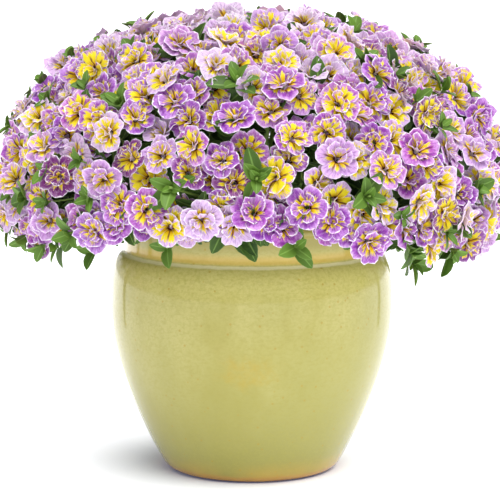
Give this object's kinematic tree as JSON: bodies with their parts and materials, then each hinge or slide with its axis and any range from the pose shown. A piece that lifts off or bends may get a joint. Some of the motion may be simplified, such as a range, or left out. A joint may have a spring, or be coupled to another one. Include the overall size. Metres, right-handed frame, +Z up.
{
  "type": "potted calibrachoa",
  "caption": "Double-flowered calibrachoa in full bloom: a low dome of lavender and yellow flowers spilling over the rim of a glazed pot.",
  "frame": {"origin": "middle of the pot's foot, on the surface that it stands on", "axes": "+Z up the pot's axis, +X to the right and -Y to the front of the plant, where its skirt of flowers ends higher and shows the pot's collar"},
  "size_m": [0.4171, 0.4317, 0.3753],
  "materials": {
    "glaze": "gloss",
    "soil": "matte",
    "petals": "matte",
    "foliage": "matte"
  },
  "bodies": {
    "root": {"pot": "glaze", "soil": "soil", "spray_01": "petals", "spray_02": "petals", "spray_03": "petals", "spray_04": "petals", "spray_05": "petals", "spray_06": "petals", "spray_07": "petals", "spray_08": "petals", "spray_09": "petals", "spray_10": "petals", "spray_11": "petals", "spray_12": "petals", "spray_13": "petals", "spray_14": "petals", "spray_15": "petals", "spray_16": "petals", "spray_17": "petals", "spray_18": "petals", "spray_19": "petals", "spray_20": "petals", "spray_21": "petals", "spray_22": "petals", "spray_23": "petals", "spray_24": "petals", "spray_25": "petals", "spray_26": "petals", "spray_27": "petals", "spray_28": "petals", "spray_29": "petals", "spray_30": "petals", "spray_31": "petals", "leafy_stem_01": "foliage", "leafy_stem_02": "foliage", "leafy_stem_03": "foliage", "leafy_stem_04": "foliage", "leafy_stem_05": "foliage", "leafy_stem_06": "foliage", "leafy_stem_07": "foliage", "leafy_stem_08": "foliage", "leafy_stem_09": "foliage"}
  },
  "joints": []
}
